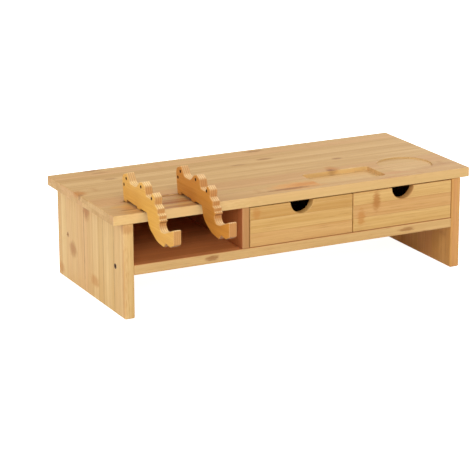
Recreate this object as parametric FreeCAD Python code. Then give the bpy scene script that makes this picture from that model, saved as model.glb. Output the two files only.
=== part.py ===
import FreeCAD, Part
import math
import os
from FreeCAD import Vector

# Bamboo monitor stand: a board on two side panels, with a shelf that carries an open
# bay and two drawers, and two scalloped hook arms that plug into the top.
# Lengths are in millimetres. X runs along the width, the drawers face -Y, Z is up.
# The origin is on the floor, in the middle of the outline seen from above.

# Overall stand
board_width = 540.0
board_depth = 230.0
stand_height = 143.0
board_thickness = 13.5
board_edge_round = 1.2

# Side panels
panel_thickness = 14.3
panel_inset = 13.7           # board's overhang past each panel
panel_setback = 0.2          # board's overhang past the panels at front and rear
panel_edge_round = 1.5
foot_pad_thickness = 2.0
foot_pad_standout = 0.5      # below the panel, the rest is let into it
foot_pad_width = 10.0
foot_pad_length = 34.0
foot_pad_end_gap = 4.0       # pad's end to the panel's end
foot_pad_corner_cut = 3.0

# Shelf, back and uprights
shelf_thickness = 13.6
shelf_underside = 59.4       # height above the floor
back_thickness = 6.0
divider_thickness = 10.9
partition_thickness = 8.0
open_bay_width = 157.2
wood_edge_round = 1.0
wood_bevel = 0.6             # on the pieces inside the stand
joint_gap = 0.05             # glue line between parts that meet in one body

# Pen tray and cup rest, sunk into the board
tray_width = 104.5
tray_length = 53.5           # from front to back
tray_depth = 6.0
tray_corner_radius = 5.0
tray_end_gap = 123.8         # right edge, measured from the board's right end
tray_setback = 17.7          # front edge, measured from the board's front
cup_diameter = 77.0
cup_depth = 2.0
cup_end_gap = 71.3           # centre, measured from the board's right end
cup_setback = 57.2           # centre, measured from the board's front
recess_edge_round = 0.8

# Drawers
drawer_side_gap = 1.0
drawer_top_gap = 1.2
drawer_floor_gap = 0.5
drawer_front_thickness = 12.0
drawer_wall = 8.0
drawer_wall_top_gap = 11.5   # box walls to the board above
drawer_box_inset = 5.0       # box side to the front's end
drawer_rear_gap = 6.0
drawer_base_thickness = 3.0
drawer_base_lift = 4.0       # underside of the base above the wall's lower edge
base_groove_depth = 3.5
base_groove_play = 0.1
finger_radius = 17.0
finger_edge_round = 1.2

# Hook arms. Distances marked behind are measured from the board's front edge
# towards the back, heights from the top of the board.
arm_thickness = 11.0
arm_end_gap = 41.6           # left face of the left arm, from the board's left end
arm_pitch = 78.2
arm_reach = 93.4             # tip in front of the board
arm_rear_foot = 62.2         # rear end of the rear foot, behind
arm_front_foot = 19.4        # rear end of the front foot, behind
arm_foot_length = 9.5
arm_seat_gap = 0.3
arm_rim_bevel = 0.8
arm_hole_diameter = 3.6

# The arm's outline before its corners are rounded, each corner as
# (behind, height, rounding), in order from the rear foot round over the teeth
arm_rear_tooth = [
    (arm_rear_foot, arm_seat_gap, 1.2),
    (arm_rear_foot + 4.6, 35.6, 9.0),
    (arm_rear_foot - 11.7, 41.0, 1.6),
]
arm_wide_cradle = [(40.8, 29.1, 8.0), (21.2, 28.8, 11.0)]
arm_middle_tooth = [(11.0, 38.1, 5.0), (2.4, 40.0, 1.6), (-6.1, 36.5, 6.0)]
arm_small_cradle = [(-9.7, 24.9, 3.0), (-23.3, 24.1, 3.2)]
arm_front_tooth = [(-29.4, 33.6, 1.6), (-38.7, 28.6, 5.0), (-36.7, 19.7, 2.0)]
arm_upper_knuckle = [(-45.9, 15.7, 2.4), (-44.8, 9.5, 1.4)]
arm_middle_knuckle = [(-51.0, 8.0, 2.0), (-49.8, 3.2, 1.2)]
arm_lower_knuckle = [(-55.9, 2.4, 1.6), (-47.9, -3.3, 4.0)]
arm_hook_inside = [(-54.0, -12.1, 8.0), (-66.8, -10.6, 8.0)]
arm_nose = [(-arm_reach, 0.0, 2.0), (-arm_reach, -20.4, 4.5)]
arm_underside = [
    (-(arm_reach + 71) / 2, -25.7, 10.0),
    (-69.2, -23.7, 2.0),
    (-62.0, -30.5, 3.0),
    (-43.0, -28.5, 30.0),
]
arm_leg_rear = [(-17.9, -15.6, 22.0), (-12.3, 2.2, 3.0)]
arm_foot_front = [
    (arm_front_foot - arm_foot_length - 3.0, 2.5, 0.8),
    (arm_front_foot - arm_foot_length, arm_seat_gap, 1.2),
    (arm_front_foot, arm_seat_gap, 1.2),
]
arm_foot_arch = [
    (arm_front_foot + 0.2, 2.6, 0.8),
    (arm_rear_foot - arm_foot_length - 0.2, 3.9, 0.8),
    (arm_rear_foot - arm_foot_length, arm_seat_gap, 1.2),
]
arm_holes = [(52.3, 33.1), (59.9, 23.4), (5.4, 33.0), (-27.6, 25.5)]

# The groove that both arms plug into
groove_width = 5.2
groove_depth = 7.0
groove_overrun = 3.4         # groove's end past the outer face of each arm
groove_rear_play = 0.5       # groove's rear wall behind the rear foot
groove_end_share = 0.49      # corner radius at the groove's ends, of its width
tenon_play = 0.3
tenon_inset = 1.5            # tenon's sides and rear end to those of the arm
tenon_root = 2.0             # how far the tenon reaches up into the arm

# Fasteners
screw_shank = 4.0
screw_head = 7.4
screw_length = 40.0
small_screw_shank = 3.0
small_screw_head = 5.6
small_screw_length = 24.0
screw_head_angle = 45.0
socket_depth = 1.6
socket_share = 0.8           # socket's corners, of the shank's radius
hole_play = 0.1
shelf_screw_front = 29.5     # from the board's front
shelf_screw_rear = 36.5      # from the board's rear
upright_screw_margin = 36.0
back_screw_margin = 48.0     # from the panels, the others evenly between
back_screw_count = 4
dowel_diameter = 6.0
dowel_length = 22.0
dowel_in_board = 8.0
dowel_margin = 30.0
drawer_dowel_diameter = 4.0
drawer_dowel_length = 18.0
drawer_dowel_in_front = 8.0
drawer_dowel_in_side = 6.0
drawer_dowel_margin = 12.0   # from the upper and lower edges of the box

# Heights and faces that follow from the sizes above
board_bottom = stand_height - board_thickness
shelf_top = shelf_underside + shelf_thickness
bay_height = board_bottom - shelf_top
board_front = (arm_reach - board_depth) / 2
board_rear = board_front + board_depth
frame_front = board_front + panel_setback
frame_rear = board_rear - panel_setback
back_face = frame_rear - back_thickness
panel_outer = board_width / 2 - panel_inset
panel_inner = panel_outer - panel_thickness
divider_left = -panel_inner + open_bay_width
divider_right = divider_left + divider_thickness
drawer_span = panel_inner - divider_right
drawer_front_width = (drawer_span - 3 * drawer_side_gap) / 2
drawer_pitch = drawer_front_width + drawer_side_gap
drawer_lefts = [divider_right + drawer_side_gap + i * drawer_pitch for i in range(2)]
drawer_front_back = frame_front + drawer_front_thickness
partition_middle = divider_right + drawer_span / 2
drawer_bottom = shelf_top + drawer_floor_gap
drawer_front_top = board_bottom - drawer_top_gap
drawer_wall_top = board_bottom - drawer_wall_top_gap
drawer_box_rear = back_face - drawer_rear_gap
groove_rear = board_front + arm_rear_foot + groove_rear_play
groove_front = groove_rear - groove_width
arm_lefts = [arm_end_gap - board_width / 2 + i * arm_pitch for i in range(2)]
tray_left = board_width / 2 - tray_end_gap - tray_width
cup_centre_x = board_width / 2 - cup_end_gap

os.makedirs("parts", exist_ok=True)


def save(shape, name):
    """Write one node, and stop if it isn't sound."""
    if not shape.isValid():
        raise ValueError("unsound shape: " + name)
    shape.exportStep("parts/" + name + ".step")
    print(name, "solids", len(shape.Solids), "volume", round(shape.Volume))


def block(x, y, z):
    """A box between pairs of faces, each given as (low, high)."""
    size = (x[1] - x[0], y[1] - y[0], z[1] - z[0])
    return Part.makeBox(size[0], size[1], size[2], Vector(x[0], y[0], z[0]))


def eased(shape, radius):
    """The shape with all its edges rounded."""
    return shape.makeFillet(radius, shape.Edges)


def bevelled(shape, size):
    """The shape with all its edges cut off at a slant, for pieces inside the stand."""
    return shape.makeChamfer(size, shape.Edges)


def rod(centre, direction, radius, length):
    return Part.makeCylinder(radius, length, centre, direction)


def group(solids):
    return Part.makeCompound(solids)


def cut_all(shape, tools):
    """The shape less every tool, as one solid."""
    result = shape.cut(group(tools)) if tools else shape
    return result.removeSplitter().Solids[0]


def at_corner(corners, i):
    """A corner's place with the directions in which the outline arrives and leaves."""
    here, before, after = (Vector(0, *corners[k % len(corners)][:2]) for k in (i, i - 1, i + 1))
    return here, (here - before).normalize(), (after - here).normalize()


def rounded_wire(corners, x):
    """A closed wire in the Y-Z plane at X, through (y, z, radius) corners rounded by arcs."""
    arcs = []
    for i, corner in enumerate(corners):
        here, arriving, leaving = at_corner(corners, i)
        half_turn = arriving.getAngle(leaving) / 2
        setback = corner[2] * math.tan(half_turn)
        inward = (leaving - arriving).normalize()
        middle = here + inward * (corner[2] / math.cos(half_turn) - corner[2])
        points = (here - arriving * setback, middle, here + leaving * setback)
        arcs.append([point + Vector(x, 0, 0) for point in points])
    edges = []
    for i, (start, middle, end) in enumerate(arcs):
        next_start = arcs[(i + 1) % len(arcs)][0]
        edges.append(Part.Arc(start, middle, end).toShape())
        edges.append(Part.LineSegment(end, next_start).toShape())
    return Part.Wire(edges)


def drawn_in(corners, depth):
    """The corners of the same outline, run counterclockwise, made smaller by a depth all round."""
    smaller = []
    for i, corner in enumerate(corners):
        here, arriving, leaving = at_corner(corners, i)
        along = arriving + leaving
        place = here + Vector(0, -along.z, along.y) * (depth / (1 + arriving.dot(leaving)))
        outward = arriving.cross(leaving).x > 0
        smaller.append((place.y, place.z, corner[2] - depth if outward else corner[2] + depth))
    return smaller


# Fasteners and their holes

def screw_profile(shank, head, length, play):
    """Half section of a countersunk screw along +Z, with its head's face at zero."""
    r_shank = shank / 2 + play
    r_head = head / 2 + play
    taper = (r_head - r_shank) / math.tan(math.radians(screw_head_angle))
    tip = length + play
    points = [(0, 0), (r_head, 0), (r_shank, taper), (r_shank, tip - r_shank), (0, tip)]
    wire = Part.makePolygon([Vector(r, 0, z) for r, z in points + points[:1]])
    return Part.Face(wire).revolve(Vector(), Vector(0, 0, 1), 360)


def placed(shape, at, direction):
    """The shape, made along +Z at the origin, moved so that it runs along a direction."""
    copy = shape.copy()
    turn = FreeCAD.Rotation(Vector(0, 0, 1), direction)
    copy.Placement = FreeCAD.Placement(at, turn)
    return copy


def screw(at, direction, shank, head, length):
    """A countersunk screw with a hexagon socket."""
    body = screw_profile(shank, head, length, 0.0)
    corners = [math.radians(60 * i) for i in range(7)]
    ring = [Vector(math.cos(a), math.sin(a), 0) * (shank / 2 * socket_share) for a in corners]
    socket = Part.Face(Part.makePolygon(ring)).extrude(Vector(0, 0, socket_depth))
    return placed(body.cut(socket).Solids[0], at, direction)


def screw_hole(at, direction, shank, head, length):
    return placed(screw_profile(shank, head, length, hole_play), at, direction)


shelf_screw_places = []
for side in (-1, 1):
    for y in (board_front + shelf_screw_front, board_rear - shelf_screw_rear):
        at = Vector(side * panel_outer, y, shelf_underside + shelf_thickness / 2)
        shelf_screw_places.append((at, Vector(-side, 0, 0)))

upright_screw_places = []
for x in (divider_left + divider_thickness / 2, partition_middle):
    for y in (frame_front + upright_screw_margin, back_face - upright_screw_margin):
        upright_screw_places.append((Vector(x, y, shelf_underside), Vector(0, 0, 1)))

back_screw_places = []
back_screw_pitch = 2 * (panel_inner - back_screw_margin) / (back_screw_count - 1)
for i in range(back_screw_count):
    x = back_screw_margin - panel_inner + i * back_screw_pitch
    at = Vector(x, frame_rear, shelf_underside + shelf_thickness / 2)
    back_screw_places.append((at, Vector(0, -1, 0)))
for x in (divider_left + divider_thickness / 2, partition_middle):
    at = Vector(x, frame_rear, (shelf_top + board_bottom) / 2)
    back_screw_places.append((at, Vector(0, -1, 0)))


def shelf_screw_holes():
    return [screw_hole(at, d, screw_shank, screw_head, screw_length) for at, d in shelf_screw_places]


def small_screw_holes(places):
    size = (small_screw_shank, small_screw_head, small_screw_length)
    return [screw_hole(at, d, *size) for at, d in places]


def board_dowel_places():
    """Feet of the dowels that tie the side panels and the divider to the board."""
    xs = (-panel_outer + panel_thickness / 2, panel_outer - panel_thickness / 2)
    ys = (frame_front + dowel_margin, (frame_front + frame_rear) / 2, frame_rear - dowel_margin)
    places = [(x, y) for x in xs for y in ys]
    places += [(divider_left + divider_thickness / 2, y) for y in (ys[0], ys[2])]
    return places


def board_dowels(play):
    radius = dowel_diameter / 2 + play
    foot = board_bottom + dowel_in_board - dowel_length - play
    length = dowel_length + 2 * play
    up = Vector(0, 0, 1)
    return [rod(Vector(x, y, foot), up, radius, length) for x, y in board_dowel_places()]


# The board with its recesses and groove

def rounded_pocket(x, y, depth, corner, floor_side):
    """A pocket cutter open at the board's top, with round upright corners."""
    z = (stand_height - depth, stand_height + floor_side)
    body = block(x, y, z)
    upright = [e for e in body.Edges if abs(e.BoundBox.ZLength - (z[1] - z[0])) < 1e-6]
    return body.makeFillet(corner, upright)


def rims_at_top(shape, x, y):
    """Edges on the board's top face that lie inside a rectangle."""
    found = []
    for edge in shape.Edges:
        box = edge.BoundBox
        flat = abs(box.ZMin - stand_height) < 1e-4 and box.ZLength < 1e-4
        inside = box.XMin > x[0] and box.XMax < x[1] and box.YMin > y[0] and box.YMax < y[1]
        if flat and inside:
            found.append(edge)
    return found


def top_board():
    overshoot = 1.0
    body = block((-board_width / 2, board_width / 2), (board_front, board_rear), (board_bottom, stand_height))
    body = eased(body, board_edge_round)
    tray_x = (tray_left, tray_left + tray_width)
    tray_y = (board_front + tray_setback, board_front + tray_setback + tray_length)
    tray = rounded_pocket(tray_x, tray_y, tray_depth, tray_corner_radius, overshoot)
    cup_at = Vector(cup_centre_x, board_front + cup_setback, stand_height - cup_depth)
    cup = rod(cup_at, Vector(0, 0, 1), cup_diameter / 2, cup_depth + overshoot)
    groove_x = (arm_lefts[0] - groove_overrun, arm_lefts[1] + arm_thickness + groove_overrun)
    end_radius = groove_width * groove_end_share
    groove = rounded_pocket(groove_x, (groove_front, groove_rear), groove_depth, end_radius, overshoot)
    body = cut_all(body, [tray, cup, groove])
    margin = board_edge_round + 0.1
    x = (-board_width / 2 + margin, board_width / 2 - margin)
    y = (board_front + margin, board_rear - margin)
    body = body.makeFillet(recess_edge_round, rims_at_top(body, x, y))
    return cut_all(body, board_dowels(joint_gap))


# Panels, shelf and uprights

def pads_under(side, play):
    """Two thin rubber pads under one side panel, or their pockets when there is play."""
    middle = side * (panel_outer - panel_thickness / 2)
    half_width = foot_pad_width / 2 + play
    front = frame_front + foot_pad_end_gap
    rear = frame_rear - foot_pad_end_gap
    pads = []
    for y in ((front, front + foot_pad_length), (rear - foot_pad_length, rear)):
        x = (middle - half_width, middle + half_width)
        pad = block(x, (y[0] - play, y[1] + play), (0, foot_pad_thickness))
        corners = [e for e in pad.Edges if e.BoundBox.ZLength > foot_pad_thickness / 2]
        pads.append(pad.makeChamfer(foot_pad_corner_cut, corners))
    return pads


def side_panel(side):
    x = sorted((side * panel_inner, side * panel_outer))
    body = block(x, (frame_front, frame_rear), (foot_pad_standout, board_bottom))
    body = eased(body, panel_edge_round)
    return cut_all(body, shelf_screw_holes() + board_dowels(joint_gap) + pads_under(side, joint_gap))


def shelf():
    x = (-panel_inner, panel_inner)
    body = eased(block(x, (frame_front, back_face), (shelf_underside, shelf_top)), wood_edge_round)
    holes = shelf_screw_holes() + small_screw_holes(upright_screw_places + back_screw_places)
    return cut_all(body, holes)


def with_upright_holes(body):
    holes = small_screw_holes(upright_screw_places + back_screw_places) + board_dowels(joint_gap)
    return cut_all(body, holes)


def divider():
    x = (divider_left, divider_right)
    body = block(x, (frame_front, back_face), (shelf_top, board_bottom))
    return with_upright_holes(eased(body, wood_edge_round))


def middle_partition():
    x = (partition_middle - partition_thickness / 2, partition_middle + partition_thickness / 2)
    y = (drawer_front_back + drawer_side_gap, back_face)
    return with_upright_holes(bevelled(block(x, y, (shelf_top, board_bottom)), wood_bevel))


def back_panel():
    x = (-panel_inner, panel_inner)
    body = bevelled(block(x, (back_face, frame_rear), (shelf_underside, board_bottom)), wood_bevel)
    return cut_all(body, small_screw_holes(back_screw_places))


# One drawer. Its box is carried on the shelf and guided by the uprights.

def drawer_walls(left):
    """Outer faces of a drawer's box: X pair, Y pair and Z pair."""
    x = (left + drawer_box_inset, left + drawer_front_width - drawer_box_inset)
    return x, (drawer_front_back, drawer_box_rear), (drawer_bottom, drawer_wall_top)


def drawer_base(left, play):
    """The thin base, let into grooves on all four sides."""
    x, y, z = drawer_walls(left)
    reach = base_groove_depth - (0 if play else joint_gap)
    base_z = z[0] + drawer_base_lift
    base_x = (x[0] + drawer_wall - reach, x[1] - drawer_wall + reach)
    base_y = (y[0] - reach, y[1] - drawer_wall + reach)
    return block(base_x, base_y, (base_z - play, base_z + drawer_base_thickness + play))


def drawer_dowels(left, play):
    """Dowels from the front into the sides and from the sides into the back."""
    x, y, z = drawer_walls(left)
    radius = drawer_dowel_diameter / 2 + play
    length = drawer_dowel_length + 2 * play
    dowels = []
    for height in (z[0] + drawer_dowel_margin, z[1] - drawer_dowel_margin):
        for side_x in (x[0] + drawer_wall / 2, x[1] - drawer_wall / 2):
            start = Vector(side_x, y[0] - drawer_dowel_in_front - play, height)
            dowels.append(rod(start, Vector(0, 1, 0), radius, length))
    for end_x, direction in ((x[0], 1), (x[1], -1)):
        start_x = end_x + direction * (drawer_wall - drawer_dowel_in_side - play)
        start = Vector(start_x, y[1] - drawer_wall / 2, (z[0] + z[1]) / 2)
        dowels.append(rod(start, Vector(direction, 0, 0), radius, length))
    return dowels


def drawer_front(left):
    x = (left, left + drawer_front_width)
    body = block(x, (frame_front, drawer_front_back), (drawer_bottom, drawer_front_top))
    body = eased(body, wood_edge_round)
    middle = Vector(left + drawer_front_width / 2, frame_front - 1, drawer_front_top)
    bite = rod(middle, Vector(0, 1, 0), finger_radius, drawer_front_thickness + 2)
    body = cut_all(body, [bite])
    boxes = [(edge, edge.BoundBox) for edge in body.Edges]
    rims = [edge for edge, box in boxes if min(box.XLength, box.ZLength) > finger_radius / 2]
    body = body.makeFillet(finger_edge_round, rims)
    return cut_all(body, [drawer_base(left, base_groove_play)] + drawer_dowels(left, joint_gap))


def drawer_side(left, side):
    x, y, z = drawer_walls(left)
    wall_x = (x[0], x[0] + drawer_wall) if side < 0 else (x[1] - drawer_wall, x[1])
    body = bevelled(block(wall_x, y, z), wood_bevel)
    return cut_all(body, [drawer_base(left, base_groove_play)] + drawer_dowels(left, joint_gap))


def drawer_back(left):
    x, y, z = drawer_walls(left)
    body = block((x[0] + drawer_wall, x[1] - drawer_wall), (y[1] - drawer_wall, y[1]), z)
    body = bevelled(body, wood_bevel)
    return cut_all(body, [drawer_base(left, base_groove_play)] + drawer_dowels(left, joint_gap))


# Hook arms: one scalloped outline with three teeth, three knuckles and a hook

def arm_corners():
    upper = arm_rear_tooth + arm_wide_cradle + arm_middle_tooth + arm_small_cradle + arm_front_tooth
    leg = arm_upper_knuckle + arm_middle_knuckle + arm_lower_knuckle
    hook = arm_hook_inside + arm_nose + arm_underside + arm_leg_rear
    return upper + leg + hook + arm_foot_front + arm_foot_arch


def hook_arm(left):
    """An arm with bevelled rims and drilled holes, and the tenon that holds it in the groove."""
    side = drawn_in(arm_corners(), arm_rim_bevel)
    sections = [(side, 0), (arm_corners(), arm_rim_bevel)]
    sections += [(corners, arm_thickness - x) for corners, x in reversed(sections)]
    body = Part.makeLoft([rounded_wire(corners, x) for corners, x in sections], True, True)
    holes = []
    for behind, height in arm_holes:
        start = Vector(-1, behind, height)
        holes.append(rod(start, Vector(1, 0, 0), arm_hole_diameter / 2, arm_thickness + 2))
    body = cut_all(body, holes)
    body.translate(Vector(left, board_front, stand_height))
    tenon_x = (left + tenon_inset, left + arm_thickness - tenon_inset)
    tenon_y = (groove_front + tenon_play, board_front + arm_rear_foot - tenon_inset)
    tenon_z = (stand_height - groove_depth + tenon_play, stand_height + tenon_root)
    tenon = block(tenon_x, tenon_y, tenon_z)
    return body.fuse(tenon).removeSplitter().Solids[0]


save(top_board(), "top_board")
save(side_panel(-1), "left_panel")
save(side_panel(1), "right_panel")
save(shelf(), "shelf")
save(divider(), "divider")
save(middle_partition(), "middle_partition")
save(back_panel(), "back_panel")
save(group(pads_under(-1, 0.0) + pads_under(1, 0.0)), "foot_pads")
save(group(board_dowels(0.0)), "board_dowels")
large_size = (screw_shank, screw_head, screw_length)
small_size = (small_screw_shank, small_screw_head, small_screw_length)
save(group([screw(at, d, *large_size) for at, d in shelf_screw_places]), "shelf_screws")
save(group([screw(at, d, *small_size) for at, d in upright_screw_places]), "upright_screws")
save(group([screw(at, d, *small_size) for at, d in back_screw_places]), "back_screws")

for name, left in zip(("left_drawer", "right_drawer"), drawer_lefts):
    save(drawer_front(left), name + "_front")
    save(drawer_side(left, -1), name + "_left_side")
    save(drawer_side(left, 1), name + "_right_side")
    save(drawer_back(left), name + "_back")
    save(drawer_base(left, 0.0), name + "_base")
    save(group(drawer_dowels(left, 0.0)), name + "_dowels")

for name, left in zip(("left_hook_arm", "right_hook_arm"), arm_lefts):
    save(hook_arm(left), name)
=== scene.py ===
import bpy
import math
from mathutils import Matrix, Vector

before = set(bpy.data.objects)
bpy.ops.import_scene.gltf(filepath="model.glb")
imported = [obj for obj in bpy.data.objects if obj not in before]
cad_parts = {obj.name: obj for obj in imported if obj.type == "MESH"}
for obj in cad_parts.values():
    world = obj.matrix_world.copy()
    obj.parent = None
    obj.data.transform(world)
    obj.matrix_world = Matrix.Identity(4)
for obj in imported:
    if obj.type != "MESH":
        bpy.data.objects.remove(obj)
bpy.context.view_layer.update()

# Camera, fitted to the edges of the stand: place in metres, angles in degrees
CAMERA_PLACE = (-1.28402, -2.45869, 0.88915)
CAMERA_YAW = 26.4341
CAMERA_PITCH = 16.5788
CAMERA_ROLL = -0.2964
CAMERA_LENS = 160.836      # millimetres
CAMERA_SENSOR = 36.0       # millimetres across
CAMERA_FAR = 50.0          # metres, beyond the edge of the floor

# Finish colours as seen on screen, 0 to 255. Each bamboo has a pale and a deep tone.
BOARD = ((228, 190, 130), (186, 140, 78))
LEFT_PANEL = ((238, 206, 146), (206, 162, 94))
RIGHT_PANEL = ((226, 174, 102), (196, 136, 66))
SHELF = ((228, 190, 128), (190, 142, 78))
DIVIDER = ((206, 156, 98), (176, 122, 66))
DRAWER_FRONT = ((230, 190, 122), (190, 138, 64))
INNER = ((196, 138, 78), (158, 96, 44))
LEFT_ARM = ((244, 194, 100), (216, 156, 62))
# The right arm is the same bamboo as the left, in darker tones: painted shade.
RIGHT_ARM_SHADED = ((226, 156, 64), (194, 122, 38))

# Tones of the streaks, nodes, end grain and holes, and of painted light and shade on faces and edges
STREAK_BROWN = (164, 104, 50)
NODE_BROWN = (150, 92, 40)
NODE_ORANGE = (194, 128, 58)
END_GRAIN = (194, 138, 82)
SCALLOP_TOP_LIGHT = (248, 216, 160)
BAY_SHADE_BROWN = (236, 120, 56)
BACK_WALL_SHADE_BROWN = (240, 148, 76)
BLUSH = (220, 154, 112)
FRONT_LIGHT_PALE = (236, 200, 132)
UNDERSIDE_SHADE = (124, 70, 28)
HOLE_DARK = (62, 30, 10)
EDGE_HIGHLIGHT_PALE = (246, 212, 158)

# The other finishes, each from one tone to another
SCREW_BROWNED = ((60, 34, 14), (104, 66, 34))
# the rear screws: a painted reflection of the pale wood
SCREW_WOOD_REFLECTION = ((196, 142, 84), (224, 178, 116))
PAD_BLACK = ((38, 36, 34), (74, 70, 64))
FLOOR_WHITE = ((250, 250, 250), (253, 253, 253))

# Stage and light
FLOOR_GLOW = 0.9           # keeps the floor white in the picture, without lighting the stand
FLOOR_REACH = 30.0         # metres from the stand to each side
WORLD_LIGHT = 0.45         # the white surroundings, as light on the stand
LIGHT_AIM = (0.0, 0.0, 0.1)
SOFTBOXES = [              # name, place and size in metres, power in watts
    ("right_rear_softbox", (1.9, 1.3, 1.9), (1.4, 1.4), 30.0),
    ("front_softbox", (-0.8, -2.4, 1.8), (2.4, 1.4), 46.0),
    ("left_softbox", (-2.6, 0.3, 0.9), (1.8, 1.2), 19.0),
    ("overhead_softbox", (0.1, 0.0, 2.2), (2.0, 1.6), 5.0),
]

# Sizes of the grain, in metres
STRIP_WIDTH = 0.0185
STRIP_DEPTH = 0.0068
ARM_LAYER = 0.0029         # the layers that each arm is pressed from
ARM_STRIP = 0.2            # taller than an arm, so that no seam crosses its sides
NODE_SPACING = 0.24
EASED_EDGE = 0.0011
HOLE_RADIUS = 0.0018

# Where each line of the grain starts to fade and where it ends, in metres from its middle
SEAM_FADE = (0.0001, 0.0007)
LAYER_SEAM_FADE = (0.0001, 0.0008)
NODE_HALO_FADE = (0.001, 0.008)
NODE_LINE_FADE = (0.0008, 0.0028)

# How strongly each effect shows on every bamboo, 0 to 1
TONE_CONTRAST = 0.8
STREAK_SHARE = 0.3
FLECK_SHARE = 0.35
# share of the painted highlight along the eased edges
EDGE_HIGHLIGHT = 0.65

# Lacquer and grain relief
LACQUER_ROUGHNESS = 0.44
STREAK_ROUGHNESS = 0.10    # added on the streaks
LACQUER_SPECULAR = 0.3
SEAM_GROOVE = 2.0          # how deep a seam lies, against the fibres
RELIEF_STRENGTH = 0.12
RELIEF_DEPTH = 0.0004

# Which way the strips of a board run: the axes along them, across them and through the board
ALONG_WIDTH = (0, 1, 2)    # along X, side by side in Y
UPRIGHT = (2, 1, 0)        # along Z, side by side in Y
ALONG_DEPTH = (1, 2, 0)    # along Y, side by side in Z
FACE_ON = (0, 2, 1)        # along X, side by side in Z


def linear(colour):
    """A screen colour from 0 to 255 as a linear colour with alpha."""
    def channel(value):
        share = value / 255
        return share / 12.92 if share <= 0.04045 else ((share + 0.055) / 1.055) ** 2.4
    return tuple(channel(value) for value in colour) + (1.0,)


# Node building

def put(tree, socket, value):
    """Link or set one input."""
    if isinstance(value, bpy.types.NodeSocket):
        tree.links.new(value, socket)
    else:
        socket.default_value = value


def add(tree, kind, inputs=None, **settings):
    """A new shader node with its settings and inputs."""
    made = tree.nodes.new("ShaderNode" + kind)
    for key, value in settings.items():
        setattr(made, key, value)
    for key, value in (inputs or {}).items():
        put(tree, made.inputs[key], value)
    return made


def calc(tree, operation, *values):
    """A number worked out from others."""
    made = add(tree, "Math", operation=operation)
    for socket, value in zip(made.inputs, values):
        put(tree, socket, value)
    return made.outputs[0]


def smooth(tree, value, low, high, to_low=0.0, to_high=1.0):
    """A soft step from one value to another."""
    ranges = {"Value": value, "From Min": low, "From Max": high, "To Min": to_low, "To Max": to_high}
    return add(tree, "MapRange", ranges, interpolation_type="SMOOTHSTEP").outputs["Result"]


def blend(tree, share, first, second, mode="MIX"):
    """The first colour, with a share of the second."""
    made = add(tree, "Mix", data_type="RGBA", blend_type=mode)
    # the Mix node's sockets for colours: share, A, B and the result
    for socket, value in ((0, share), (6, first), (7, second)):
        put(tree, made.inputs[socket], value)
    return made.outputs[2]


def scaled(tree, vector, scale):
    """A vector with each of its values multiplied."""
    return add(tree, "VectorMath", {0: vector, 1: scale}, operation="MULTIPLY").outputs[0]


def new_group(name, inputs, outputs):
    """An empty shader group with named sockets, and its two end nodes."""
    tree = bpy.data.node_groups.new(name, "ShaderNodeTree")
    for label, kind, value in inputs:
        socket = tree.interface.new_socket(label, in_out="INPUT", socket_type="NodeSocket" + kind)
        socket.default_value = value
    for label, kind in outputs:
        tree.interface.new_socket(label, in_out="OUTPUT", socket_type="NodeSocket" + kind)
    return tree, tree.nodes.new("NodeGroupInput").outputs, tree.nodes.new("NodeGroupOutput").inputs


def use(tree, group, inputs):
    """Place a shared group in a tree and give its outputs."""
    made = tree.nodes.new("ShaderNodeGroup")
    made.node_tree = group
    for key, value in inputs.items():
        put(tree, made.inputs[key], value)
    return made.outputs


def new_material(name):
    """A material without nodes, and its tree."""
    material = bpy.data.materials.new(name)
    material.use_nodes = True
    material.node_tree.nodes.clear()
    return material, material.node_tree


# Shared effects. In their coordinates X runs along the strip, Y across it, Z through the board.

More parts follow.
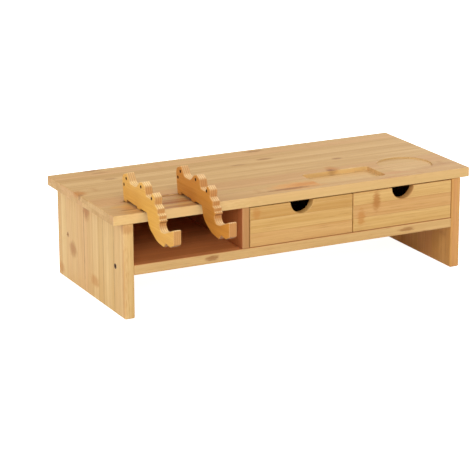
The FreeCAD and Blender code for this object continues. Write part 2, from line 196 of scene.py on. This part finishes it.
def strip_group():
    """Glued strips: a tone for each, the thin seams between them and the nodes of the cane."""
    sockets = [("Place", "Vector", (0, 0, 0)), ("Strip Width", "Float", STRIP_WIDTH),
               ("Strip Depth", "Float", STRIP_DEPTH), ("Node Spacing", "Float", NODE_SPACING),
               ("Seed", "Float", 0.0), ("Layer Seam", "Float", 0.0)]
    results = [("Tone", "Float"), ("Blush", "Float"), ("Seam", "Float"), ("Node Mark", "Float"),
               ("Grain Place", "Vector")]
    tree, given, out = new_group("bamboo strips", sockets, results)
    parts = add(tree, "SeparateXYZ", {0: given["Place"]}).outputs
    across = calc(tree, "DIVIDE", parts[1], given["Strip Width"])
    through = calc(tree, "DIVIDE", parts[2], given["Strip Depth"])
    row = calc(tree, "FLOOR", across)
    layer = calc(tree, "FLOOR", through)
    strip = add(tree, "CombineXYZ", {0: row, 1: layer, 2: given["Seed"]}).outputs[0]
    chance = add(tree, "TexWhiteNoise", {"Vector": strip}, noise_dimensions="3D")
    chances = add(tree, "SeparateColor", {0: chance.outputs["Color"]}).outputs
    put(tree, out["Tone"], chance.outputs["Value"])
    put(tree, out["Blush"], smooth(tree, chances[1], 0.3, 1.0))
    # seams lie at whole numbers across the strips
    side = calc(tree, "FRACT", across)
    to_seam = calc(tree, "MINIMUM", side, calc(tree, "SUBTRACT", 1.0, side))
    seam_gap = calc(tree, "MULTIPLY", to_seam, given["Strip Width"])
    seam = smooth(tree, seam_gap, *SEAM_FADE, 1.0, 0.0)
    level = calc(tree, "FRACT", through)
    to_layer = calc(tree, "MINIMUM", level, calc(tree, "SUBTRACT", 1.0, level))
    layer_gap = calc(tree, "MULTIPLY", to_layer, given["Strip Depth"])
    layer_line = smooth(tree, layer_gap, *LAYER_SEAM_FADE, 1.0, 0.0)
    layer_seam = calc(tree, "MULTIPLY", layer_line, given["Layer Seam"])
    put(tree, out["Seam"], calc(tree, "MAXIMUM", seam, layer_seam))
    # each strip starts at its own node, so that those of neighbours don't line up
    shift = calc(tree, "MULTIPLY", chances[0], 9.0)
    run = calc(tree, "ADD", calc(tree, "DIVIDE", parts[0], given["Node Spacing"]), shift)
    # a node's line wavers a little as it crosses the strip
    spread = scaled(tree, given["Place"], (0.0, 160.0, 160.0))
    wobble = add(tree, "TexNoise", {"Vector": spread, "Scale": 1.0, "Detail": 1.0}).outputs[0]
    bent = calc(tree, "ADD", run, calc(tree, "MULTIPLY", wobble, 0.02))
    from_node = calc(tree, "ABSOLUTE", calc(tree, "SUBTRACT", calc(tree, "FRACT", bent), 0.5))
    distance = calc(tree, "MULTIPLY", from_node, given["Node Spacing"])
    halo = smooth(tree, distance, *NODE_HALO_FADE, 1.0, 0.0)
    line = smooth(tree, distance, *NODE_LINE_FADE, 1.0, 0.0)
    # every node of every strip has a strength of its own, and nearly half of them don't show
    number = calc(tree, "FLOOR", bent)
    which = add(tree, "CombineXYZ", {0: number, 1: chance.outputs["Value"], 2: row}).outputs[0]
    strength = add(tree, "TexWhiteNoise", {"Vector": which}, noise_dimensions="3D").outputs["Value"]
    ring = calc(tree, "ADD", calc(tree, "MULTIPLY", halo, 0.6), calc(tree, "MULTIPLY", line, 0.4))
    put(tree, out["Node Mark"], calc(tree, "MULTIPLY", ring, smooth(tree, strength, 0.45, 1.0)))
    # the fibres of neighbours are drawn from different places too
    sideways = calc(tree, "MULTIPLY", chances[1], 3.0)
    moved = add(tree, "CombineXYZ", {0: shift, 1: sideways, 2: chances[2]}).outputs[0]
    put(tree, out["Grain Place"], add(tree, "VectorMath", {0: given["Place"], 1: moved}).outputs[0])
    return tree


def fibre_group():
    """The fibres of the cane: bands, fine streaks and short dark flecks."""
    results = [("Bands", "Float"), ("Streaks", "Float"), ("Flecks", "Float"), ("Relief", "Float")]
    tree, given, out = new_group("bamboo fibres", [("Grain Place", "Vector", (0, 0, 0))], results)

    def streaks(along, across, detail, low, high):
        """Noise drawn out along the strip, counted to the metre, and cut to a mask."""
        place = scaled(tree, given["Grain Place"], (along, across, across))
        noise = add(tree, "TexNoise", {"Vector": place, "Scale": 1.0, "Detail": detail}).outputs[0]
        return smooth(tree, noise, low, high)

    broad = streaks(3.0, 90.0, 2.0, 0.36, 0.64)
    narrow = streaks(5.0, 260.0, 2.0, 0.34, 0.66)
    fine = streaks(12.0, 900.0, 2.0, 0.35, 0.68)
    flecks = streaks(40.0, 1900.0, 1.0, 0.60, 0.72)
    put(tree, out["Bands"], blend(tree, 0.5, broad, narrow))
    put(tree, out["Streaks"], fine)
    put(tree, out["Flecks"], flecks)
    put(tree, out["Relief"], calc(tree, "SUBTRACT", fine, flecks))
    return tree


def edge_group():
    """Eased edges: a normal that turns over them, and a mask of where it leaves the flat face."""
    sockets = [("Radius", "Float", EASED_EDGE)]
    tree, given, out = new_group("eased edges", sockets, [("Mask", "Float"), ("Normal", "Vector")])
    turned = add(tree, "Bevel", {"Radius": given["Radius"]}, samples=4).outputs[0]
    flat = tree.nodes.new("ShaderNodeNewGeometry").outputs["Normal"]
    likeness = add(tree, "VectorMath", {0: turned, 1: flat}, operation="DOT_PRODUCT").outputs["Value"]
    put(tree, out["Mask"], smooth(tree, likeness, 0.70, 0.97, 1.0, 0.0))
    put(tree, out["Normal"], turned)
    return tree


def facing_group():
    """A mask for the faces that look one way: full up to 25 degrees off it, none beyond 70."""
    sockets = [("Normal", "Vector", (0, 0, 1)), ("Way", "Vector", (1, 0, 0))]
    tree, given, out = new_group("facing", sockets, [("Mask", "Float")])
    turned = add(tree, "VectorMath", {0: given["Normal"], 1: given["Way"]}, operation="DOT_PRODUCT")
    put(tree, out["Mask"], smooth(tree, turned.outputs["Value"], 0.35, 0.9))
    return tree


def hole_group():
    """Wood darker in and just around a hole that runs along X."""
    sockets = [("Place", "Vector", (0, 0, 0)), ("Centre", "Vector", (0, 0, 0)),
               ("Radius", "Float", HOLE_RADIUS)]
    tree, given, out = new_group("drilled hole", sockets, [("Mask", "Float")])
    away = add(tree, "VectorMath", {0: given["Place"], 1: given["Centre"]}, operation="SUBTRACT").outputs[0]
    flat = scaled(tree, away, (0.0, 1.0, 1.0))
    reach = add(tree, "VectorMath", {0: flat}, operation="LENGTH").outputs["Value"]
    share = calc(tree, "DIVIDE", reach, given["Radius"])
    put(tree, out["Mask"], smooth(tree, share, 1.05, 1.45, 1.0, 0.0))
    return tree


def mark_group():
    """One mark at a place of its own, ragged along the grain; it draws the marks of the cane and a few
    patches of painted light and shade.
    """
    sockets = [("Place", "Vector", (0, 0, 0)), ("Centre", "Vector", (0, 0, 0)),
               ("Half Size", "Vector", (1, 1, 1))]
    tree, given, out = new_group("mark and painted light", sockets, [("Mask", "Float")])
    away = add(tree, "VectorMath", {0: given["Place"], 1: given["Centre"]}, operation="SUBTRACT").outputs[0]
    share = add(tree, "VectorMath", {0: away, 1: given["Half Size"]}, operation="DIVIDE").outputs[0]
    reach = add(tree, "VectorMath", {0: share}, operation="LENGTH").outputs["Value"]
    fibres = scaled(tree, given["Place"], (120.0, 620.0, 620.0))
    noise = add(tree, "TexNoise", {"Vector": fibres, "Scale": 1.0, "Detail": 2.0}).outputs[0]
    ragged = calc(tree, "MULTIPLY", calc(tree, "SUBTRACT", noise, 0.5), 1.4)
    put(tree, out["Mask"], smooth(tree, calc(tree, "ADD", reach, ragged), 0.45, 1.25, 1.0, 0.0))
    return tree


STRIPS = strip_group()
FIBRES = fibre_group()
EDGES = edge_group()
FACING = facing_group()
HOLE = hole_group()
MARK = mark_group()


# Materials

def in_grain_order(values, direction):
    """The three values for X, Y and Z, reordered as along, across and through the strips."""
    return [values[axis] for axis in direction]


def mark(place, size, strength, colour=NODE_BROWN):
    """A mark on the wood: its middle and full sizes in millimetres, in the stand's own frame."""
    return [v / 1000 for v in place], [v / 2000 for v in size], strength, colour


def bamboo(name, direction, tones, seed, marks=(), width=STRIP_WIDTH, layer=STRIP_DEPTH,
           layer_seam=0.0, seam=0.3, nodes=0.6, blush=0.25, facing=(), holes=()):
    """Lacquered bamboo: strips of slightly different tone, fibres, nodes and a painted highlight on the
    eased edges.

    Width and layer are the sizes of a strip. Layer seam, seam, nodes and blush say how strongly
    each of these shows. Marks, facing and holes are this board's own; facing lays painted light and shade
    on the faces that look one way.
    """
    material, tree = new_material(name)
    pale, deep = (linear(tone) for tone in tones)
    coordinates = add(tree, "TexCoord").outputs
    parts = add(tree, "SeparateXYZ", {0: coordinates["Object"]}).outputs
    place = add(tree, "CombineXYZ", dict(enumerate(in_grain_order(parts, direction)))).outputs[0]
    strips = use(tree, STRIPS, {"Place": place, "Strip Width": width, "Strip Depth": layer,
                                "Layer Seam": layer_seam, "Seed": seed})
    fibres = use(tree, FIBRES, {"Grain Place": strips["Grain Place"]})
    edges = use(tree, EDGES, {})
    tone = calc(tree, "ADD", fibres["Bands"], strips["Tone"])
    half = 0.5 * TONE_CONTRAST
    colour = blend(tree, calc(tree, "MULTIPLY_ADD", tone, half, 0.5 - half), pale, deep)

    def tint(mask, amount, over, mode="MIX"):
        """Lay a colour over the one so far, by an amount of a mask."""
        nonlocal colour
        colour = blend(tree, calc(tree, "MULTIPLY", mask, amount), colour, over, mode)

    tint(strips["Blush"], blush, linear(BLUSH))
    tint(fibres["Streaks"], STREAK_SHARE, deep)
    tint(fibres["Flecks"], FLECK_SHARE, linear(STREAK_BROWN))
    node_tone = blend(tree, fibres["Streaks"], linear(NODE_ORANGE), linear(NODE_BROWN))
    tint(strips["Node Mark"], nodes, node_tone)
    for centre, size, strength, brown in marks:
        where = {"Centre": in_grain_order(centre, direction), "Half Size": in_grain_order(size, direction)}
        tint(use(tree, MARK, {"Place": place, **where})["Mask"], strength, linear(brown))
    # painted light and shade on the faces that look one way
    for way, shade, amount, mode in facing:
        turned = use(tree, FACING, {"Normal": coordinates["Normal"], "Way": way})["Mask"]
        tint(turned, amount, linear(shade), mode)
    tint(strips["Seam"], seam, linear(STREAK_BROWN))
    # painted highlight along the eased edges, but not underneath
    under = use(tree, FACING, {"Normal": coordinates["Normal"], "Way": (0, 0, -1)})["Mask"]
    edge_highlight = calc(tree, "MULTIPLY", edges["Mask"], calc(tree, "SUBTRACT", 1.0, under))
    tint(edge_highlight, EDGE_HIGHLIGHT, linear(EDGE_HIGHLIGHT_PALE))
    for centre in holes:
        mask = use(tree, HOLE, {"Place": coordinates["Object"], "Centre": centre})["Mask"]
        colour = blend(tree, mask, colour, linear(HOLE_DARK))
    height = calc(tree, "SUBTRACT", fibres["Relief"], calc(tree, "MULTIPLY", strips["Seam"], SEAM_GROOVE))
    bump = add(tree, "Bump", {"Height": height, "Normal": edges["Normal"], "Strength": RELIEF_STRENGTH,
                              "Distance": RELIEF_DEPTH})
    rough = calc(tree, "MULTIPLY_ADD", fibres["Streaks"], STREAK_ROUGHNESS, LACQUER_ROUGHNESS)
    surface = add(tree, "BsdfPrincipled", {"Base Color": colour, "Roughness": rough,
                                           "Normal": bump.outputs[0],
                                           "Specular IOR Level": LACQUER_SPECULAR})
    add(tree, "OutputMaterial", {"Surface": surface.outputs[0]})
    return material


def screw_steel():
    """Zinc plated steel with turning marks, browned at the front, with a painted reflection of the pale
    wood at the rear.
    """
    material, tree = new_material("screw_steel")
    place = add(tree, "TexCoord").outputs["Object"]
    rings = add(tree, "TexNoise", {"Vector": place, "Scale": 2400.0, "Detail": 2.0}).outputs[0]
    dark = blend(tree, rings, *map(linear, SCREW_BROWNED))
    pale = blend(tree, rings, *map(linear, SCREW_WOOD_REFLECTION))
    # a painted reflection of the pale wood, from the middle of the stand to 60 mm behind it
    depth = add(tree, "SeparateXYZ", {0: place}).outputs[1]
    colour = blend(tree, smooth(tree, depth, 0.0, 0.06, 0.0, 0.8), dark, pale)
    rough = smooth(tree, rings, 0.2, 0.8, 0.28, 0.5)
    bump = add(tree, "Bump", {"Height": rings, "Strength": 0.2, "Distance": 0.0001})
    surface = add(tree, "BsdfPrincipled", {"Base Color": colour, "Roughness": rough,
                                           "Normal": bump.outputs[0], "Metallic": 1.0})
    add(tree, "OutputMaterial", {"Surface": surface.outputs[0]})
    return material


def pad_rubber():
    """Black anti-slip rubber with a fine pebble."""
    material, tree = new_material("pad_rubber")
    place = add(tree, "TexCoord").outputs["Object"]
    pebble = add(tree, "TexVoronoi", {"Vector": place, "Scale": 1400.0}).outputs["Distance"]
    dust = add(tree, "TexNoise", {"Vector": place, "Scale": 120.0}).outputs[0]
    colour = blend(tree, smooth(tree, dust, 0.4, 0.8), *map(linear, PAD_BLACK))
    bump = add(tree, "Bump", {"Height": pebble, "Strength": 0.4, "Distance": 0.0002})
    rough = smooth(tree, dust, 0.3, 0.7, 0.7, 0.9)
    surface = add(tree, "BsdfPrincipled", {"Base Color": colour, "Roughness": rough,
                                           "Normal": bump.outputs[0]})
    add(tree, "OutputMaterial", {"Surface": surface.outputs[0]})
    return material


def dress(node, material):
    """Give a CAD node its material."""
    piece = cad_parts[node]
    piece.data.materials.clear()
    piece.data.materials.append(material)


# Marks that stand out on each board, and on the top board a few patches of painted light and shade: middle,
# full sizes, strength and colour
BOARD_MARKS_AND_PAINTED_LIGHT = [
    mark((-207, 157, 143), (34, 12, 20), 0.55),
    mark((-201, 141, 143), (26, 8, 20), 0.35),
    mark((-266, 56, 143), (20, 24, 14), 0.80, NODE_ORANGE),
    mark((-269, 46, 143), (10, 10, 16), 0.60),
    mark((-200, 105, 143), (24, 9, 20), 0.45),
    mark((-11, 91, 143), (26, 8, 20), 0.40),
    mark((42, 150, 143), (30, 10, 20), 0.60),
    mark((37, 104, 143), (26, 9, 20), 0.60),
    mark((130, 59, 143), (16, 10, 20), 0.60),
    # painted light on the tray's back wall
    mark((115, 3, 140), (58, 8, 8), 0.50, (250, 212, 140)),
    mark((95, 12, 143), (18, 26, 20), 0.70, NODE_ORANGE),
    mark((90, 6, 143), (14, 14, 20), 0.85),
    mark((14, -43, 143), (84, 34, 20), 0.80, (222, 156, 80)),
    mark((28, -41, 143), (60, 15, 20), 0.85, (208, 138, 62)),
    mark((-4, -53, 143), (76, 10, 20), 0.75),
    mark((150, -65, 143), (60, 7, 20), 0.45, (188, 124, 68)),
    mark((172, -46, 143), (96, 14, 20), 0.45, (198, 134, 84)),
    mark((236, -34, 143), (80, 22, 20), 0.35, (176, 120, 72)),
    mark((-243, -30, 143), (34, 14, 20), 0.45, (228, 176, 96)),
    mark((-237, -48, 143), (30, 7, 20), 0.60),
    mark((-226, -38, 143), (44, 26, 20), 0.45, (214, 150, 84)),
    # painted shade in the groove under the arms' rear feet
    mark((-184, -8, 140), (124, 13, 14), 0.95, (150, 86, 36)),
    # painted light on the left half of the board's front face
    mark((-190, -69, 136), (230, 6, 26), 0.40, (246, 216, 156)),
    mark((-172, -42, 143), (124, 11, 20), 0.85, (172, 104, 52)),
    mark((-162, -32, 143), (90, 6, 20), 0.65, (180, 110, 60)),
    mark((-184, -54, 143), (130, 5, 20), 0.60, (232, 178, 100)),
    mark((-180, -62, 143), (130, 7, 20), 0.70, (186, 120, 68)),
]
LEFT_PANEL_MARKS = [
    mark((-256, 57, 119), (20, 24, 30), 0.85, (180, 120, 60)),
    mark((-256, 107, 50), (20, 28, 22), 0.75, (176, 118, 60)),
    mark((-256, 151, 12), (20, 24, 16), 0.55, NODE_ORANGE),
    mark((-256, 32, 26), (20, 30, 16), 0.60, NODE_ORANGE),
    mark((-256, 67, 70), (20, 3, 150), 0.55),
    mark((-256, 2, 60), (20, 2.6, 170), 0.40),
    mark((-256, -34, 60), (20, 2.6, 170), 0.45),
    mark((-256, -65, 50), (20, 7, 160), 0.50, NODE_ORANGE),
    mark((-252, -66, 123), (20, 18, 15), 0.60, (184, 126, 68)),
]
SHELF_MARKS = [
    mark((-129, -68, 67), (20, 20, 8), 0.70),
    mark((170, -68, 66), (26, 20, 6), 0.65),
]
DRAWER_MARKS = [
    [mark((-63, -68, 120), (12, 20, 16), 0.55, NODE_ORANGE)],
    [mark((121, -68, 113), (13, 20, 28), 0.85, (180, 118, 54)),
     mark((97, -68, 93), (13, 20, 26), 0.65, NODE_ORANGE)],
]

# Faces toned by the way they look, as painted light and shade and as end grain: direction, colour, share
# and kind of mix
# painted light: the board's front faces paler, as lit from the front
BOARD_FRONT_LIGHT = [((0, -1, 0), FRONT_LIGHT_PALE, 0.42, "MIX")]
# painted shade in the open bay: side and floor darkened, back wall a deep orange brown
BAY_SIDE_SHADE = [((-1, 0, 0), BAY_SHADE_BROWN, 0.45, "MULTIPLY")]
BAY_FLOOR_SHADE = [((0, 0, 1), BAY_SHADE_BROWN, 0.55, "MULTIPLY")]
BAY_BACK_SHADE = [((0, -1, 0), BACK_WALL_SHADE_BROWN, 0.85, "MIX")]
# arms: end grain to the front and rear, painted light on rims that look up, painted shade on those that
# look down
ARM_RIM_GRAIN_AND_LIGHT = [((0, -1, 0), END_GRAIN, 0.8, "MIX"), ((0, 1, 0), END_GRAIN, 0.8, "MIX"),
            ((0, 0, 1), SCALLOP_TOP_LIGHT, 0.6, "MIX"), ((0, 0, -1), UNDERSIDE_SHADE, 0.85, "MIX")]

# Middles of the holes in each arm, Y and Z in millimetres
ARM_HOLES = [(-16.0, 176.1), (-8.4, 166.4), (-62.9, 176.0), (-95.9, 168.5)]


def dress_frame(dowel):
    """Finish the board, the panels and all that stays with them. Each board has a seed of its own."""
    dress("top_board", bamboo("board_bamboo", ALONG_WIDTH, BOARD, 1.0, marks=BOARD_MARKS_AND_PAINTED_LIGHT, nodes=0.3,
                              facing=BOARD_FRONT_LIGHT))
    dress("left_panel", bamboo("left_panel_bamboo", UPRIGHT, LEFT_PANEL, 2.0, marks=LEFT_PANEL_MARKS,
                               nodes=0.15))
    dress("right_panel", bamboo("right_panel_bamboo", UPRIGHT, RIGHT_PANEL, 3.0, nodes=0.3))
    dress("shelf", bamboo("shelf_bamboo", ALONG_WIDTH, SHELF, 4.0, marks=SHELF_MARKS, facing=BAY_FLOOR_SHADE))
    dress("divider", bamboo("divider_bamboo", UPRIGHT, DIVIDER, 5.0, nodes=0.3, facing=BAY_SIDE_SHADE))
    dress("middle_partition", bamboo("partition_bamboo", UPRIGHT, INNER, 6.0))
    dress("back_panel", bamboo("back_bamboo", FACE_ON, SHELF, 7.0, facing=BAY_BACK_SHADE))
    dress("board_dowels", dowel)
    steel = screw_steel()
    for node in ("shelf_screws", "upright_screws", "back_screws"):
        dress(node, steel)
    dress("foot_pads", pad_rubber())


def dress_drawers(dowel):
    """Finish both drawers."""
    for drawer, seed, marks in zip(("left_drawer_", "right_drawer_"), (10.0, 15.0), DRAWER_MARKS):
        dress(drawer + "front", bamboo(drawer + "front_bamboo", FACE_ON, DRAWER_FRONT, seed, marks=marks,
                                       nodes=0.3))
        side = bamboo(drawer + "side_bamboo", ALONG_DEPTH, INNER, seed + 1)
        dress(drawer + "left_side", side)
        dress(drawer + "right_side", side)
        dress(drawer + "back", bamboo(drawer + "back_bamboo", FACE_ON, INNER, seed + 2))
        dress(drawer + "base", bamboo(drawer + "base_bamboo", ALONG_WIDTH, INNER, seed + 3))
        dress(drawer + "dowels", dowel)


def dress_arms():
    """Finish both hook arms, whose layers show on their rims and whose sides are plain; the rims get
    painted light where they look up and painted shade where they look down.
    """
    holes = [(0.0, y / 1000, z / 1000) for y, z in ARM_HOLES]
    # the right arm's darker tones are painted shade
    for node, tones, seed in (("left_hook_arm", LEFT_ARM, 30.0), ("right_hook_arm", RIGHT_ARM_SHADED, 31.0)):
        dress(node, bamboo(node + "_bamboo", ALONG_DEPTH, tones, seed, width=ARM_STRIP, layer=ARM_LAYER,
                           layer_seam=1.0, seam=0.5, nodes=0.0, blush=0.0, facing=ARM_RIM_GRAIN_AND_LIGHT, holes=holes))


# Stage

def floor():
    """A plain pale floor that reaches far beyond the picture."""
    mesh = bpy.data.meshes.new("studio_floor")
    corners = [(x * FLOOR_REACH, y * FLOOR_REACH, 0.0) for x, y in ((-1, -1), (1, -1), (1, 1), (-1, 1))]
    mesh.from_pydata(corners, [], [(0, 1, 2, 3)])
    piece = bpy.data.objects.new("studio_floor", mesh)
    bpy.context.scene.collection.objects.link(piece)
    material = bpy.data.materials.new("studio_floor")
    material.use_nodes = True
    tree = material.node_tree
    surface = tree.nodes["Principled BSDF"]
    mottle = add(tree, "TexNoise", {"Scale": 3.0}).outputs[0]
    put(tree, surface.inputs["Base Color"], blend(tree, mottle, *map(linear, FLOOR_WHITE)))
    surface.inputs["Roughness"].default_value = 0.9
    surface.inputs["Specular IOR Level"].default_value = 0.1
    surface.inputs["Emission Color"].default_value = (1.0, 1.0, 1.0, 1.0)
    seen = add(tree, "LightPath").outputs["Is Camera Ray"]
    put(tree, surface.inputs["Emission Strength"], calc(tree, "MULTIPLY", seen, FLOOR_GLOW))
    mesh.materials.append(material)


def softbox(name, place, size, power):
    """A white rectangle of light that looks at the stand."""
    lamp = bpy.data.lights.new(name, "AREA")
    lamp.shape = "RECTANGLE"
    lamp.size, lamp.size_y = size
    lamp.energy = power
    holder = bpy.data.objects.new(name, lamp)
    bpy.context.scene.collection.objects.link(holder)
    holder.location = place
    holder.rotation_mode = "QUATERNION"
    holder.rotation_quaternion = (Vector(LIGHT_AIM) - Vector(place)).to_track_quat("-Z", "Y")


def studio():
    """White surroundings and the softboxes."""
    scene = bpy.context.scene
    scene.view_settings.view_transform = "Standard"
    world = bpy.data.worlds.new("studio")
    scene.world = world
    world.use_nodes = True
    tree = world.node_tree
    sky = tree.nodes["Background"]
    sky.inputs["Color"].default_value = (1.0, 1.0, 1.0, 1.0)
    # white where the camera sees it, dimmer as light on the stand
    seen = add(tree, "LightPath").outputs["Is Camera Ray"]
    put(tree, sky.inputs["Strength"], calc(tree, "MAXIMUM", seen, WORLD_LIGHT))
    for box in SOFTBOXES:
        softbox(*box)


def camera():
    """The camera, turned about the vertical, tipped down and then rolled."""
    yaw, pitch, roll = (math.radians(a) for a in (CAMERA_YAW, CAMERA_PITCH, CAMERA_ROLL))
    ahead = Vector((math.sin(yaw) * math.cos(pitch), math.cos(yaw) * math.cos(pitch), -math.sin(pitch)))
    right = Vector((math.cos(yaw), -math.sin(yaw), 0.0))
    up = right.cross(ahead)
    right, up = (right * math.cos(roll) + up * math.sin(roll),
                 up * math.cos(roll) - right * math.sin(roll))
    data = bpy.data.cameras.new("camera")
    data.sensor_width = CAMERA_SENSOR
    data.lens = CAMERA_LENS
    data.clip_end = CAMERA_FAR
    holder = bpy.data.objects.new("camera", data)
    bpy.context.scene.collection.objects.link(holder)
    turn = Matrix((right, up, -ahead)).transposed().to_4x4()
    holder.matrix_world = Matrix.Translation(CAMERA_PLACE) @ turn
    bpy.context.scene.camera = holder


camera()
dowel_bamboo = bamboo("dowel_bamboo", UPRIGHT, INNER, 8.0)
dress_frame(dowel_bamboo)
dress_drawers(dowel_bamboo)
dress_arms()
floor()
studio()
